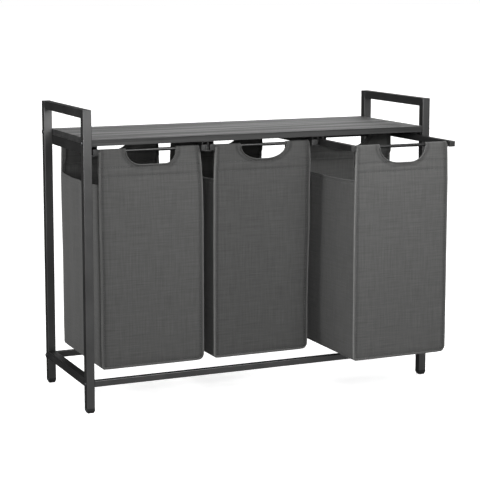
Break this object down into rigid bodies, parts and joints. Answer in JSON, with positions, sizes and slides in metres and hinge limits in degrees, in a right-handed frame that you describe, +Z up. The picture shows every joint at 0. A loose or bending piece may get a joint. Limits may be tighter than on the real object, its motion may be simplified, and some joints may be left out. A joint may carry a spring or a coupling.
{
  "type": "laundry sorter",
  "caption": "Laundry sorter: fabric bags that slide out on runners under a wood-grain shelf, in a black square-tube frame with side handles.",
  "frame": {"origin": "on the floor, under the middle of the whole object's box, with the right-hand bag pulled out as stored", "axes": "+X to the object's right seen from the front, +Y to its rear, +Z up; the bags slide out along -Y"},
  "size_m": [0.932, 0.492, 0.72],
  "materials": {
    "steel": "black powder coat, fine texture, satin",
    "bolt": "black zinc, semi-gloss",
    "foot_plastic": "black moulded plastic, matte",
    "cap_plastic": "black moulded plastic, fine ribs, satin",
    "glide_nylon": "black nylon, satin",
    "shelf": "charcoal printed wood grain with a matching edge band, matte",
    "stiffener": "grey fibreboard, matte",
    "bag_fabric": "grey plain-weave polyester, matte, lighter binding and piping"
  },
  "bodies": {
    "frame": {"top_bar_left": "steel", "top_bar_right": "steel", "lower_side_bar_left": "steel", "lower_side_bar_right": "steel", "crossbar_front": "steel", "crossbar_rear": "steel", "shelf_board": "shelf", "guide_left_end": "steel", "guide_centre_left": "steel", "guide_centre_right": "steel", "guide_right_end": "steel", "post_front_left": "steel", "post_front_right": "steel", "post_rear_left": "steel", "post_rear_right": "steel", "foot_front_left": "foot_plastic", "foot_front_right": "foot_plastic", "foot_rear_left": "foot_plastic", "foot_rear_right": "foot_plastic", "shelf_bolt_front_left": "bolt", "shelf_bolt_front_right": "bolt", "shelf_bolt_rear_left": "bolt", "shelf_bolt_rear_right": "bolt", "crossbar_bolt_front_left": "bolt", "crossbar_bolt_front_right": "bolt", "crossbar_bolt_rear_left": "bolt", "crossbar_bolt_rear_right": "bolt"},
    "bag_1": {"bag_1_fabric": "bag_fabric", "bag_1_base_board": "stiffener", "bag_1_rod_front": "steel", "bag_1_rod_rear": "steel", "bag_1_runner_left": "steel", "bag_1_runner_right": "steel", "bag_1_front_cap_left": "cap_plastic", "bag_1_front_cap_right": "cap_plastic", "bag_1_rear_glide_left": "glide_nylon", "bag_1_rear_glide_right": "glide_nylon"},
    "bag_2": {"bag_2_fabric": "bag_fabric", "bag_2_base_board": "stiffener", "bag_2_rod_front": "steel", "bag_2_rod_rear": "steel", "bag_2_runner_left": "steel", "bag_2_runner_right": "steel", "bag_2_front_cap_left": "cap_plastic", "bag_2_front_cap_right": "cap_plastic", "bag_2_rear_glide_left": "glide_nylon", "bag_2_rear_glide_right": "glide_nylon"},
    "bag_3": {"bag_3_fabric": "bag_fabric", "bag_3_base_board": "stiffener", "bag_3_rod_front": "steel", "bag_3_rod_rear": "steel", "bag_3_runner_left": "steel", "bag_3_runner_right": "steel", "bag_3_front_cap_left": "cap_plastic", "bag_3_front_cap_right": "cap_plastic", "bag_3_rear_glide_left": "glide_nylon", "bag_3_rear_glide_right": "glide_nylon"}
  },
  "joints": [
    {"name": "bag_1_slide", "type": "slide", "parent": "frame", "child": "bag_1", "axis": [0, -1, 0], "range_m": [0, 0.2]},
    {"name": "bag_2_slide", "type": "slide", "parent": "frame", "child": "bag_2", "axis": [0, -1, 0], "range_m": [0, 0.2]},
    {"name": "bag_3_slide", "type": "slide", "parent": "frame", "child": "bag_3", "axis": [0, -1, 0], "range_m": [-0.165, 0.035]}
  ]
}
